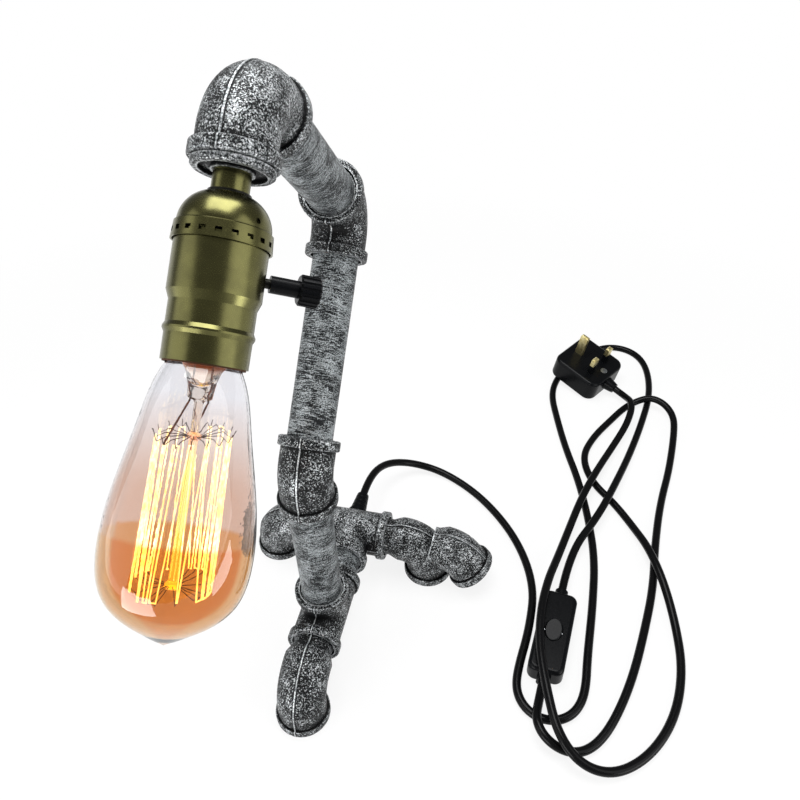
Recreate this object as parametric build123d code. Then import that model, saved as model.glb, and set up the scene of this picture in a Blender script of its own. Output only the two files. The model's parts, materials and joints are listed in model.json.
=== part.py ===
"""Industrial pipe table lamp built from banded 3/4 inch malleable fittings.

Millimetres, +Z up. The lamp is drawn about its vertical riser pipe, which stands on the front tee,
with the front foot towards -Y and the surface it stands on at Z = 0. At the end everything is moved
so that the origin is under the middle of the lamp itself, without its cord.
"""
from build123d import *
from math import cos, pi, radians, sin, sqrt, tan
import os

# ---------------------------------------------------------------- driving sizes: pipe and fittings
PIPE_OD = 26.9              # 3/4 inch (DN20) pipe
PIPE_WALL = 2.65
THREAD_FIT = 0.05           # radial clearance of every screwed or turning fit
ENGAGEMENT = 12.0           # how far a pipe end sits in a fitting
COLLAR_OD = 36.6            # band round each mouth
COLLAR_LENGTH = 6.0
COLLAR_ROUND = 1.0
BODY_OD = 32.6              # casting between the bands
MOUTH_RECESS_OD = 30.0      # open recess in front of the thread
MOUTH_RECESS_DEPTH = 1.6
CORE_BORE = 22.0
ELBOW_REACH = 31.0          # centre of the bend to the mouth
TEE_REACH = 28.5
BEND45_REACH = 22.0
STREET_NECK = 31.5          # centre of a street elbow to the mouth that it is screwed into
NECK_TAPER = 7.0
BEND_RADIUS = 20.0
SEAM_WIDTH = 0.9            # mould seam
SEAM_HEIGHT = 0.45

# ---------------------------------------------------------------- driving sizes: visible pipe lengths
RISER_SHOWS = 91.0
POST_SHOWS = 106.0
ARM_SHOWS = 96.0
NIPPLE_SHOWS = 14.5
LEAN = 45.0                 # bend of the fitting on the riser
OUTRIGGER_TURN = -3.0       # outer right foot, from straight right towards the back
OUTRIGGER_DIP = 7.0         # its neck, below the horizontal
OUTRIGGER_BEND = 45.0
BRAZE_DEPTH = 3.0           # neck of the outer right foot inside the outline of the foot beside it

# ---------------------------------------------------------------- driving sizes: lampholder, along its axis
BUSH_OD = 33.2              # flange of the reducing bush
BUSH_GAP = 0.4
BUSH_FLANGE = 2.8
BUSH_SPIGOT = 11.0
BUSH_CHAMFER = 0.8
BUSH_RECESS_OD = 27.0       # hollow in its face, round the boss that the sleeve sits on
BUSH_RECESS_DEPTH = 1.8
BUSH_BOSS_OD = 17.5
ROD_OD = 10.0               # M10 hollow rod
ROD_BORE = 7.0
ROD_TAIL = 4.5              # rod behind the bush
ROD_NOSE = 5.0              # rod inside the cap
LOCK_NUT_FLATS = 14.0
LOCK_NUT_THICK = 3.0
SLEEVE_OD = 15.0
SLEEVE_LENGTH = 8.0
WASHER_OD = 17.0
WASHER_THICK = 0.8
SHEET = 0.7                 # brass sheet of the lampholder
CAP_NECK_R = 8.3
DOME_R = 18.2
DOME_HEIGHT = 13.0
DOME_WAIST_R = 15.2         # a point half-way down the dome
DOME_WAIST_DROP = 4.6
BAND_TOP_R = 19.0
BAND_FOOT_R = 19.5
BAND_HEIGHT = 7.2
SLOT_COUNT = 20
SLOT_WIDTH = 2.6
SLOT_HEIGHT = 1.9
SLOT_RISE = 2.9             # foot of the band to the middle of its slots
VENT_OD = 2.2
VENT_RISE = 2.5             # foot of the dome to the vent
VENT_TURN = 25.0
SHELL_TOP_R = 18.2
SHELL_STEP_R = 16.8
SHELL_BEAD_R = 17.6
SHELL_RIM_R = 16.7
SHELL_LENGTH = 45.7
SHELL_STEP_AT = 21.0        # below the top of the shell
SHELL_STEP_HEIGHT = 3.6
SHELL_BEAD_AT = 33.0
SHELL_OVERLAP = 3.0         # shell inside the band of the cap
LINER_WALL = 0.6
LINER_GAP = 0.15
LINER_PROUD = 0.6
LINER_START = 5.0
HOLDER_CORE_LENGTH = 14.0
HOLDER_CORE_AT = 4.0        # below the top of the shell
SCREW_SHELL_OD = 28.4
SCREW_SHELL_WALL = 0.4
SCREW_SHELL_LENGTH = 22.0
CONTACT_WIDTH = 6.0
CONTACT_THICK = 0.5
CONTACT_RISE = 1.6
CONTACT_GAP = 0.1
TERMINAL_SCREW_OD = 4.0
TERMINAL_SCREW_LENGTH = 3.0
TERMINAL_PITCH = 16.0
KNOB_DROP = 10.5            # knob's axis below the top of the shell
KNOB_TURN = 30.0            # knob's axis round the lampholder, from straight right towards the post
SPINDLE_OD = 4.0
SPINDLE_HOLE_GAP = 0.5
SPINDLE_INSET = 9.0         # inner end of the spindle from the lampholder's axis
SPINDLE_SHOWS = 2.0
ROTOR_OD = 9.0
ROTOR_LENGTH = 5.0
ROTOR_GROOVE = (1.2, 2.4)   # width and depth of the grooves in its inner end
ROTOR_CLEAR = 0.5
KNOB_STEM_OD = 7.0
KNOB_STEM_LENGTH = 11.5
KNOB_OD = 12.6
KNOB_LENGTH = 8.5
KNOB_FLUTES = 16
KNOB_FLUTE_R = 0.7
KNOB_GRIP_OVERLAP = 6.0     # spindle inside the knob

# ---------------------------------------------------------------- driving sizes: bulb
BULB_R = 29.0
BULB_NECK_R = 13.0
GLASS_LENGTH = 111.5        # neck to the tip
GLASS_WALL = 0.8
NIB_R = 3.5
NIB_AT = 0.985              # share of the length at which it starts
E27_OD = 26.2
E27_LENGTH = 19.0
E27_WALL = 0.5
BULB_INSULATOR_H = 3.0
BULB_INSULATOR_R = 5.8      # its end, round the contact
BULB_CONTACT_R = 4.8
STEM_R = 5.0
STEM_LENGTH = 26.0
ROD_GLASS_R = 1.7
CAGE_TOP = 27.5             # rim of the lampholder to the upper support
CAGE_LENGTH = 57.0
CAGE_TOP_R = 13.0
CAGE_FOOT_R = 15.5
STRANDS = 14
STRAND_R = 0.35
SUPPORT_R = 0.3

# ---------------------------------------------------------------- driving sizes: cord, gland, switch, plug
CORD_OD = 6.2
FLEX_OD = 6.0
FLEX_BEND = 15.0
LEAD_OD = 1.8
LEAD_SPREAD = 1.5           # each lead from the axis where it leaves the rod
LEAD_STRAIGHT = 3.0
GLAND_SEAT = 15.2           # rear tee's axis to the flat that the gland sits on
GLAND_FLAT_OD = 17.0
GLAND_BASE_OD = 15.0
GLAND_CONE_OD = 13.0        # taper, where it stands on the collar
GLAND_TIP_OD = 9.4
GLAND_LENGTH = 20.0
GLAND_COLLAR = 3.0
GLAND_GROOVES = 3
GLAND_GROOVE_R = 0.8
GLAND_TAIL_OD = 10.0
GLAND_NUT_FLATS = 14.0
GLAND_NUT_THICK = 3.0
SWITCH_LENGTH = 66.0
SWITCH_WIDTH = 25.0
SWITCH_BASE_H = 7.5
SWITCH_COVER_H = 7.5
SWITCH_WALL = 1.8
SWITCH_CORNER = 6.0
SWITCH_TOP_ROUND = 3.0
SWITCH_FOOT_ROUND = 1.0
SWITCH_SPOUT = 5.0          # strain relief at each end
SWITCH_SPOUT_OD = 9.5
ROCKER_LENGTH = 17.0
ROCKER_WIDTH = 12.0
ROCKER_GAP = 0.6
ROCKER_RISE = 2.2           # above the cover when level
ROCKER_DEPTH = 4.6          # below the top of the cover
ROCKER_TILT = 9.0
ROCKER_ROUND = 0.8
ROCKER_AXLE_OD = 2.4
ROCKER_AXLE_DROP = 3.0      # below the top of the cover
LUG_WIDTH = 6.0
LUG_THICK = 2.2
LUG_DEPTH = 3.2
SWITCH_SCREW_OD = 3.0
SWITCH_SCREW_LENGTH = 9.0
SWITCH_SCREW_HEAD_OD = 5.2
SWITCH_SCREW_HEAD_H = 1.6
SWITCH_SCREW_AT = (24.0, 7.0)
SWITCH_POST_R = 3.6
SCREW_SLOT = 0.8
TERMINAL_BLOCK = (9.0, 5.0, 4.5)
TERMINAL_BLOCK_AT = 13.0    # each terminal from the middle of the switch
CORE_WAY = 5.0              # bore that the stripped cores of the cord pass through
PLUG_SIDE = 50.0
PLUG_BASE_H = 12.0          # half with the pins
PLUG_COVER_H = 10.0         # half that the plug lies on
PLUG_WALL = 2.2
PLUG_FACE = 5.0             # wall that holds the pins
PLUG_CORNER = 9.0
PLUG_ROUND = 3.0
PIN_CLEAR = 0.02
PIN_CHAMFER = 1.2
LINE_PIN_SHOWS = 17.7
EARTH_PIN_SHOWS = 22.7
LINE_PIN_SIZE = (4.0, 6.35)         # along the plug, across it
EARTH_PIN_SIZE = (7.95, 4.0)
LINE_PIN_AT = 9.2           # row of line and neutral pins from the middle of the plug, towards its cord
PIN_SPREAD = 22.2           # line to neutral
PIN_TO_EARTH = 22.2         # line and neutral row to the earth pin
PIN_ROOT = 7.0
PIN_SLEEVE_LENGTH = 9.0
PIN_SLEEVE_WALL = 0.5
BOOT_RISE = 11.0            # boot's axis above the back of the plug
BOOT_LENGTH = 9.0
BOOT_OD = 13.0
BOOT_TENON_OD = 11.0        # where it passes the wall of the plug
BOOT_TIP_OD = 9.4
FUSE_OD = 6.3
FUSE_LENGTH = 25.4
CARRIER_SIZE = (9.2, 29.5)           # along the plug, across it
CARRIER_AT = -1.0
CARRIER_DEPTH = 9.0
CARRIER_GAP = 0.25
FUSE_CLEAR = 0.1
FUSE_CONTACT = (6.0, 5.0, 2.8)
PLUG_SCREW_OD = 3.5
PLUG_SCREW_HEAD_OD = 6.5
PLUG_SCREW_LENGTH = 14.0
PLUG_SCREW_AT = 17.0        # from the middle of the plug, towards its cord

# ---------------------------------------------------------------- driving places: what lies on the surface
SWITCH_AT = (159.5, 27.0)   # middle of the inline switch
SWITCH_HEADING = -96.0      # degrees, from its lamp end to its plug end
PLUG_AT = (168.0, 322.0)
PLUG_HEADING = -33.0        # degrees, towards its cord
PLUG_TILT = 10.5            # its earth side rests on the cord below it

ARC_SHARE = 0.45            # of the shorter run beside a corner, taken by its arc
GLAND_RUN = 21.0            # straight cord behind the gland
SWITCH_IN_RUN = 38.0        # straight cord in front of the switch
SWITCH_OUT_RUN = 14.0
PLUG_RUN = 11.0

# Cord from the lamp to the switch, after the gland's run and before the switch's. It crosses itself once.
LAMP_CORD_ROUTE = [
    (8, 153, 23), (28, 169, 10), (57, 169, 3.1), (93, 147, 3.1), (125, 111, 3.1), (143, 70, 3.1),
    (143, 32, 3.1), (138, -2, 3.1), (140, -21, 3.1), (151, -34, 3.1), (168, -34, 3.1), (179, -19, 3.1),
    (183, 16, 3.1), (187, 60, 3.1), (187, 104, 3.1), (180, 145, 3.1), (170, 184, 3.1), (157, 220, 3.1),
    (147, 256, 3.1), (139, 289, 3.1), (143, 315, 3.1), (155, 338, 3.1), (171, 360, 3.1), (192, 375, 3.1),
    (215, 371, 3.1), (229, 350, 3.1), (232, 308, 3.1), (223, 262, 3.1), (212, 219, 4.0), (200, 178, 10.4),
    (187, 140, 10.7),
]
# Cord from the switch to the plug. It lies over the first cord, over itself and over the switch.
PLUG_CORD_ROUTE = [
    (154, -40, 12.5), (165, -51, 9.5), (182, -46, 3.6), (201, -27, 3.1), (214, 6, 3.1), (224, 45, 3.1),
    (231, 85, 3.1), (233, 125, 3.1), (238, 170, 3.1), (247, 213, 3.1), (253, 252, 5.0), (245, 283, 10.8),
    (228, 296, 10.6), (212, 287, 3.1), (197, 265, 3.1), (181, 239, 3.1), (172, 212, 3.1), (181, 184, 3.1),
    (201, 163, 3.1), (216, 141, 3.6), (227, 116, 10.6), (237, 88, 10.6), (246, 58, 3.6), (250, 22, 3.1),
    (244, -14, 3.1), (228, -43, 3.1), (205, -60, 3.6), (183, -61, 8.5), (166, -46, 17.0), (157, -18, 19.6),
    (150, 12, 19.3), (149, 40, 19.4), (152, 66, 18.5), (158, 92, 13.0), (165, 123, 10.4),
    (173, 157, 10.4), (184, 190, 10.4), (199, 230, 5.5), (210, 256, 10.0), (214, 279, 13.8),
]

# ---------------------------------------------------------------- what follows from the driving sizes
X, Z = Vector(1, 0, 0), Vector(0, 0, 1)
BACK = Vector(0, 1, 0)
PIPE_ID = PIPE_OD - 2 * PIPE_WALL
SOCKET_R = PIPE_OD / 2 + THREAD_FIT
SOCKET_DEPTH = ENGAGEMENT + 0.5
BASE_HEIGHT = ELBOW_REACH
POST_DIR = Vector(0, sin(radians(LEAN)), cos(radians(LEAN)))
ARM_DIR = Vector(0, -cos(radians(LEAN)), sin(radians(LEAN)))

FRONT_TEE_AT = Vector(0, 0, BASE_HEIGHT)
REAR_TEE_AT = FRONT_TEE_AT + BACK * (2 * TEE_REACH + NIPPLE_SHOWS)
FOOT_OFFSET = TEE_REACH + STREET_NECK
BEND_AT = FRONT_TEE_AT + Z * (TEE_REACH + RISER_SHOWS + BEND45_REACH)
UPPER_AT = BEND_AT + POST_DIR * (BEND45_REACH + POST_SHOWS + ELBOW_REACH)
HEAD_AT = UPPER_AT + ARM_DIR * (2 * ELBOW_REACH + ARM_SHOWS)

GLAND_NUT_CORNER = GLAND_NUT_FLATS / 2 / cos(radians(30))
GLAND_NUT_AT = sqrt((CORE_BORE / 2) ** 2 - GLAND_NUT_CORNER ** 2)     # its face from the rear tee's axis
GLAND_TIP_AT = REAR_TEE_AT + BACK * (GLAND_SEAT + GLAND_LENGTH)
SWITCH_RISE = SWITCH_BASE_H     # cord's axis in the switch
SWITCH_DIR = Vector(cos(radians(SWITCH_HEADING)), sin(radians(SWITCH_HEADING)), 0)
PLUG_DIR = Vector(cos(radians(PLUG_HEADING)), sin(radians(PLUG_HEADING)), 0)
PLUG_H = PLUG_BASE_H + PLUG_COVER_H

# Places along the lampholder's axis, from the middle of the head elbow
FLANGE_TOP = ELBOW_REACH + BUSH_GAP
SLEEVE_TOP = FLANGE_TOP + BUSH_FLANGE
WASHER_TOP = SLEEVE_TOP + SLEEVE_LENGTH
CAP_TOP = WASHER_TOP + WASHER_THICK
DOME_FOOT = CAP_TOP + DOME_HEIGHT
BAND_FOOT = DOME_FOOT + BAND_HEIGHT
RIM = BAND_FOOT + SHELL_LENGTH
CORE_TOP = BAND_FOOT + HOLDER_CORE_AT
CORE_FOOT = CORE_TOP + HOLDER_CORE_LENGTH
CONTACT_TIP = CORE_FOOT + CONTACT_RISE + CONTACT_GAP
BULB_CAP_TOP = CONTACT_TIP + BULB_INSULATOR_H
GLASS_TOP = BULB_CAP_TOP + E27_LENGTH
KNOB_AT = BAND_FOOT + KNOB_DROP


# ---------------------------------------------------------------- helpers
def turned(outline):
    """Solid of revolution about Z from a closed wire in the XZ plane"""
    return revolve(make_face(outline), Axis.Z)


def joined(*curves):
    """Wire from curves that follow one another"""
    return Wire([edge for curve in curves for edge in curve.edges()])


def turned_points(*points):
    """Solid of revolution from (radius, height) corners"""
    return turned(Polyline(*[(r, 0, z) for r, z in points], close=True))


def round_bar(path, diameter):
    return sweep(Plane(origin=path @ 0, z_dir=path % 0) * Circle(diameter / 2), path=path)


def facing(direction, distance=0.0, origin=Vector(0, 0, 0)):
    """Location a distance along a direction, with its Z along it"""
    return Plane(origin=origin + direction * distance, z_dir=direction).location


def standing(radius, height):
    """Cylinder that stands on Z = 0"""
    return Cylinder(radius, height, align=(Align.CENTER, Align.CENTER, Align.MIN))


def standing_box(length, width, height):
    return Box(length, width, height, align=(Align.CENTER, Align.CENTER, Align.MIN))


def hexagon_nut(flats, thickness, bore):
    return extrude(RegularPolygon(flats / 2, 6, major_radius=False) - Circle(bore / 2), thickness)


def placed(shapes, location):
    return {name: location * shape for name, shape in shapes.items()}


# ---------------------------------------------------------------- fittings
def band():
    """Raised band round a mouth, with its outer face at Z = 0 and the casting below"""
    ring = Pos(0, 0, -COLLAR_LENGTH) * standing(COLLAR_OD / 2, COLLAR_LENGTH)
    return fillet(ring.edges().filter_by(GeomType.CIRCLE), COLLAR_ROUND)


def mouth_cut():
    """Thread bore and the recess in front of it, with the mouth at Z = 0"""
    thread = Pos(0, 0, -SOCKET_DEPTH) * standing(SOCKET_R, SOCKET_DEPTH)
    recess = Pos(0, 0, -MOUTH_RECESS_DEPTH) * standing(MOUTH_RECESS_OD / 2, MOUTH_RECESS_DEPTH)
    return thread + recess


def seam_slab():
    """The plane of the mould's parting line, XZ, as a thin slab"""
    return Box(6 * ELBOW_REACH, SEAM_WIDTH, 6 * ELBOW_REACH)


def outlet(bend):
    """Direction of the leg that leaves a bend whose other leg comes up from -Z"""
    return Vector(sin(radians(bend)), 0, cos(radians(bend)))


def bend_line(bend, inlet, outlet_length):
    return FilletPolyline((0, 0, -inlet), (0, 0, 0), outlet(bend) * outlet_length, radius=BEND_RADIUS)


def bend_fitting(bend, reach):
    """Banded bend with a threaded mouth at each end"""
    out = outlet(bend)
    line = bend_line(bend, reach, reach)
    skin = round_bar(line, BODY_OD)
    skin += round_bar(line, BODY_OD + 2 * SEAM_HEIGHT) & seam_slab()
    for direction in (-Z, out):
        skin += facing(direction, reach) * band()
    skin -= round_bar(line, CORE_BORE)
    for direction in (-Z, out):
        skin -= facing(direction, reach) * mouth_cut()
    return skin


def street_skin(bend, reach, neck, extra):
    """Outside of a street elbow: a body that narrows to a plain neck as thick as the pipe"""
    out = outlet(bend)
    body_ends = BEND_RADIUS * tan(radians(bend / 2)) + 1.0
    skin = round_bar(bend_line(bend, reach, body_ends), BODY_OD + 2 * extra)
    taper = Cone(BODY_OD / 2 + extra, PIPE_OD / 2 + extra, NECK_TAPER,
                 align=(Align.CENTER, Align.CENTER, Align.MIN))
    skin += facing(out, body_ends) * taper
    start = body_ends + NECK_TAPER
    skin += facing(out, start) * standing(PIPE_OD / 2 + extra, neck - start)
    return skin


def street_elbow(bend, reach, neck, tail):
    """Street elbow: a banded mouth below, a pipe-sized male end along the outlet"""
    out = outlet(bend)
    shape = street_skin(bend, reach, neck, 0)
    shape += street_skin(bend, reach, neck, SEAM_HEIGHT) & seam_slab()
    if tail:
        shape += facing(out, neck) * standing(PIPE_OD / 2, tail)
    shape += facing(-Z, reach) * band()
    shape -= round_bar(bend_line(bend, reach, neck + tail), CORE_BORE)
    shape -= facing(-Z, reach) * mouth_cut()
    return shape


def tee():
    """Banded tee: the run along X, the branch along +Z"""
    def skin(extra):
        run = Rot(0, 90, 0) * Cylinder(BODY_OD / 2 + extra, 2 * TEE_REACH)
        return run + standing(BODY_OD / 2 + extra, TEE_REACH)

    shape = skin(0)
    shape += skin(SEAM_HEIGHT) & seam_slab()
    mouths = (X, -X, Z)
    for direction in mouths:
        shape += facing(direction, TEE_REACH) * band()
    shape -= Rot(0, 90, 0) * Cylinder(CORE_BORE / 2, 2 * TEE_REACH) + standing(CORE_BORE / 2, TEE_REACH)
    for direction in mouths:
        shape -= facing(direction, TEE_REACH) * mouth_cut()
    return shape


def pipe(shows):
    """Pipe that stands on the seat of the fitting below it; Z = 0 is that fitting's mouth"""
    length = shows + 2 * ENGAGEMENT
    tube = standing(PIPE_OD / 2, length) - standing(PIPE_ID / 2, length)
    return Pos(0, 0, -ENGAGEMENT) * tube


# ---------------------------------------------------------------- lampholder
# Z runs down its axis from the middle of the head elbow
def head_hardware():
    """What stays with the head elbow: bush, hollow rod, its nuts and the brass sleeve"""
    flange = Pos(0, 0, FLANGE_TOP) * standing(BUSH_OD / 2, BUSH_FLANGE)
    flange = chamfer(flange.edges().group_by(Axis.Z)[-1], BUSH_CHAMFER)
    spigot_top = ELBOW_REACH - BUSH_SPIGOT
    bush = flange + Pos(0, 0, spigot_top) * standing(PIPE_OD / 2, FLANGE_TOP - spigot_top)
    bush -= Pos(0, 0, spigot_top) * standing(ROD_OD / 2 + THREAD_FIT, BUSH_SPIGOT + BUSH_GAP + BUSH_FLANGE)
    recess = standing(BUSH_RECESS_OD / 2, BUSH_RECESS_DEPTH) - standing(BUSH_BOSS_OD / 2, BUSH_RECESS_DEPTH)
    bush -= Pos(0, 0, SLEEVE_TOP - BUSH_RECESS_DEPTH) * recess

    rod_top = spigot_top - ROD_TAIL
    rod_length = CAP_TOP + SHEET + ROD_NOSE - rod_top
    rod = Pos(0, 0, rod_top) * (standing(ROD_OD / 2, rod_length) - standing(ROD_BORE / 2, rod_length))
    nut = hexagon_nut(LOCK_NUT_FLATS, LOCK_NUT_THICK, ROD_OD + 2 * THREAD_FIT)
    sleeve = standing(SLEEVE_OD / 2, SLEEVE_LENGTH) - standing(ROD_OD / 2 + THREAD_FIT, SLEEVE_LENGTH)
    washer = standing(WASHER_OD / 2, WASHER_THICK) - standing(ROD_OD / 2 + THREAD_FIT, WASHER_THICK)
    nuts = [Pos(0, 0, spigot_top - LOCK_NUT_THICK) * nut, Pos(0, 0, CAP_TOP + SHEET + CONTACT_GAP) * nut]
    return {
        "reducing_bush": bush,
        "threaded_rod": rod,
        "rod_nuts": Compound(nuts),
        "brass_sleeve": Pos(0, 0, SLEEVE_TOP) * sleeve,
        "neck_washer": Pos(0, 0, WASHER_TOP) * washer,
    }


def lampholder_cap():
    rod_hole = ROD_OD / 2 + THREAD_FIT
    step = 0.5
    outside = Polyline((rod_hole, 0, CAP_TOP), (CAP_NECK_R, 0, CAP_TOP))
    dome = ThreePointArc((CAP_NECK_R, 0, CAP_TOP), (DOME_WAIST_R, 0, CAP_TOP + DOME_WAIST_DROP),
                         (DOME_R, 0, DOME_FOOT))
    edge = Polyline((DOME_R, 0, DOME_FOOT), (BAND_TOP_R, 0, DOME_FOOT + step), (BAND_FOOT_R, 0, BAND_FOOT),
                    (BAND_FOOT_R - SHEET, 0, BAND_FOOT), (BAND_TOP_R - SHEET, 0, DOME_FOOT + step + SHEET),
                    (DOME_R - SHEET, 0, DOME_FOOT + SHEET))
    lining = ThreePointArc((DOME_R - SHEET, 0, DOME_FOOT + SHEET),
                           (DOME_WAIST_R - SHEET, 0, CAP_TOP + DOME_WAIST_DROP + SHEET),
                           (CAP_NECK_R, 0, CAP_TOP + SHEET))
    inside = Polyline((CAP_NECK_R, 0, CAP_TOP + SHEET), (rod_hole, 0, CAP_TOP + SHEET),
                      (rod_hole, 0, CAP_TOP))
    cap = turned(joined(outside, dome, edge, lining, inside))
    slot = Pos(BAND_FOOT_R, 0, BAND_FOOT - SLOT_RISE) * Box(6 * SHEET, SLOT_WIDTH, SLOT_HEIGHT)
    for turn in range(SLOT_COUNT):
        cap -= Rot(0, 0, 360 / SLOT_COUNT * turn) * slot
    vent = Pos(DOME_R, 0, DOME_FOOT - VENT_RISE) * Rot(0, 90, 0) * Cylinder(VENT_OD / 2, DOME_R)
    return cap - Rot(0, 0, VENT_TURN) * vent


def lampholder_shell():
    step_at = BAND_FOOT + SHELL_STEP_AT
    bead_at = BAND_FOOT + SHELL_BEAD_AT
    bead = SHELL_BEAD_R - SHELL_STEP_R

    def side(inset):
        return [(SHELL_TOP_R - inset, BAND_FOOT - SHELL_OVERLAP),
                (SHELL_TOP_R - inset, step_at - SHELL_STEP_HEIGHT / 2),
                (SHELL_STEP_R - inset, step_at + SHELL_STEP_HEIGHT / 2),
                (SHELL_STEP_R - inset, bead_at - 2 * bead),
                (SHELL_BEAD_R - inset, bead_at), (SHELL_BEAD_R - inset, bead_at + bead),
                (SHELL_STEP_R - inset, bead_at + 3 * bead), (SHELL_RIM_R - inset, RIM)]

    shell = turned_points(*side(0), *reversed(side(SHEET)))
    hole = SPINDLE_OD / 2 + SPINDLE_HOLE_GAP
    return shell - knob_place() * Pos(0, 0, SHELL_RIM_R / 2) * standing(hole, SHELL_RIM_R)


def insulating_liner():
    outer = SHELL_RIM_R - SHEET - LINER_GAP
    length = RIM + LINER_PROUD - BAND_FOOT - LINER_START
    tube = standing(outer, length) - standing(outer - LINER_WALL, length)
    hole = standing(SPINDLE_OD / 2 + SPINDLE_HOLE_GAP, SHELL_RIM_R)
    return Pos(0, 0, BAND_FOOT + LINER_START) * tube - knob_place() * Pos(0, 0, SHELL_RIM_R / 2) * hole


def knob_place():
    """Location on the lampholder's axis at the knob's height, with Z along the knob's axis"""
    turn = radians(-KNOB_TURN)
    return facing(Vector(cos(turn), sin(turn), 0), 0, Vector(0, 0, KNOB_AT))


def holder_inside():
    """Moulded core with the switch chamber, and the brass parts that the bulb touches"""
    core_r = SHELL_RIM_R - SHEET - LINER_GAP - LINER_WALL - LINER_GAP
    core = Pos(0, 0, CORE_TOP) * standing(core_r, HOLDER_CORE_LENGTH)
    chamber_start = SPINDLE_INSET - ROTOR_LENGTH - ROTOR_CLEAR
    chamber = Pos(0, 0, chamber_start) * standing(ROTOR_OD / 2 + ROTOR_CLEAR, ROTOR_LENGTH + 2 * ROTOR_CLEAR)
    spindle_way = standing(SPINDLE_OD / 2 + THREAD_FIT, 2 * core_r)
    core -= knob_place() * (chamber + Pos(0, 0, SPINDLE_INSET) * spindle_way)

    floor_hole = CONTACT_WIDTH
    cup = standing(SCREW_SHELL_OD / 2, SCREW_SHELL_LENGTH)
    cup -= Pos(0, 0, SCREW_SHELL_WALL) * standing(SCREW_SHELL_OD / 2 - SCREW_SHELL_WALL, SCREW_SHELL_LENGTH)
    cup -= standing(floor_hole, SCREW_SHELL_WALL)

    half = CONTACT_WIDTH / 2
    tongue = make_face(Polyline((-half, 0, 0), (half, 0, 0), (half, 0, CONTACT_THICK),
                                (0, 0, CONTACT_RISE), (-half, 0, CONTACT_THICK), close=True))
    screw = standing(TERMINAL_SCREW_OD / 2, TERMINAL_SCREW_LENGTH)
    slot = Box(TERMINAL_SCREW_OD, CONTACT_THICK, CONTACT_THICK)
    contacts = [Pos(side * TERMINAL_PITCH / 2, 0, CORE_TOP - TERMINAL_SCREW_LENGTH) * (screw - slot)
                for side in (-1, 1)]
    contacts.append(Pos(0, 0, CORE_FOOT) * extrude(tongue, CONTACT_WIDTH / 4, both=True))
    return {
        "holder_core": core,
        "screw_shell": Pos(0, 0, CORE_FOOT) * cup,
        "holder_contacts": Compound(contacts),
    }


def knob_parts():
    """Turn switch; Z = 0 is the lampholder's axis"""
    rotor = Pos(0, 0, SPINDLE_INSET - ROTOR_LENGTH) * standing(ROTOR_OD / 2, ROTOR_LENGTH)
    for turn in (45, 135):
        rotor -= Pos(0, 0, SPINDLE_INSET - ROTOR_LENGTH) * Rot(0, 0, turn) * Box(ROTOR_OD, *ROTOR_GROOVE)
    stem_start = SHELL_TOP_R + SPINDLE_SHOWS
    spindle_end = stem_start + KNOB_GRIP_OVERLAP
    spindle = Pos(0, 0, SPINDLE_INSET) * standing(SPINDLE_OD / 2, spindle_end - SPINDLE_INSET)

    knob_start = stem_start + KNOB_STEM_LENGTH
    knob = Pos(0, 0, stem_start) * standing(KNOB_STEM_OD / 2, KNOB_STEM_LENGTH)
    head = Pos(0, 0, knob_start) * standing(KNOB_OD / 2, KNOB_LENGTH)
    head = chamfer(head.edges().filter_by(GeomType.CIRCLE), KNOB_FLUTE_R)
    flute = Pos(KNOB_OD / 2, 0, knob_start) * standing(KNOB_FLUTE_R, KNOB_LENGTH)
    for turn in range(KNOB_FLUTES):
        head -= Rot(0, 0, 360 / KNOB_FLUTES * turn) * flute
    knob += head
    knob -= Pos(0, 0, stem_start) * standing(SPINDLE_OD / 2, KNOB_GRIP_OVERLAP)
    return {"switch_rotor": rotor, "switch_spindle": spindle, "turn_knob": knob}


def leads():
    """Live and neutral wires from the end of the rod to the terminals"""
    start = CAP_TOP + SHEET + ROD_NOSE
    foot = CORE_TOP - TERMINAL_SCREW_LENGTH
    wires = []
    for side in (-1, 1):
        near, far = side * LEAD_SPREAD, side * TERMINAL_PITCH / 2
        path = FilletPolyline((near, 0, start), (near, 0, start + LEAD_STRAIGHT),
                              (far, 0, foot - LEAD_STRAIGHT), (far, 0, foot), radius=LEAD_OD)
        wires.append(round_bar(path, LEAD_OD))
    return Compound(wires)


# ---------------------------------------------------------------- bulb, on the same axis
def glass_side(wall):
    """Side of the envelope from its neck to the nib, as points for a spline: shares of the largest
    radius and of the length"""
    shares = [(0.56, 0.075), (0.745, 0.26), (1.0, 0.69), (0.85, 0.85), (0.57, 0.92), (0.32, 0.958)]
    middle = [(across * BULB_R - wall, 0, along * GLASS_LENGTH) for across, along in shares]
    return [(BULB_NECK_R - wall, 0, 0), *middle, (NIB_R, 0, NIB_AT * GLASS_LENGTH - wall)]


def envelope():
    outer, inner = glass_side(0), glass_side(GLASS_WALL)
    ends = [(0.2, 0, 1), (-1, 0, 0.45)]
    nib = Polyline(outer[-1], (NIB_R / 2, 0, GLASS_LENGTH - NIB_R / 4), (0, 0, GLASS_LENGTH),
                   (0, 0, inner[-1][2]), inner[-1])
    neck = Line(inner[0], outer[0])
    return turned(joined(Spline(*outer, tangents=ends), nib, Spline(*inner, tangents=ends), neck))


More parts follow.
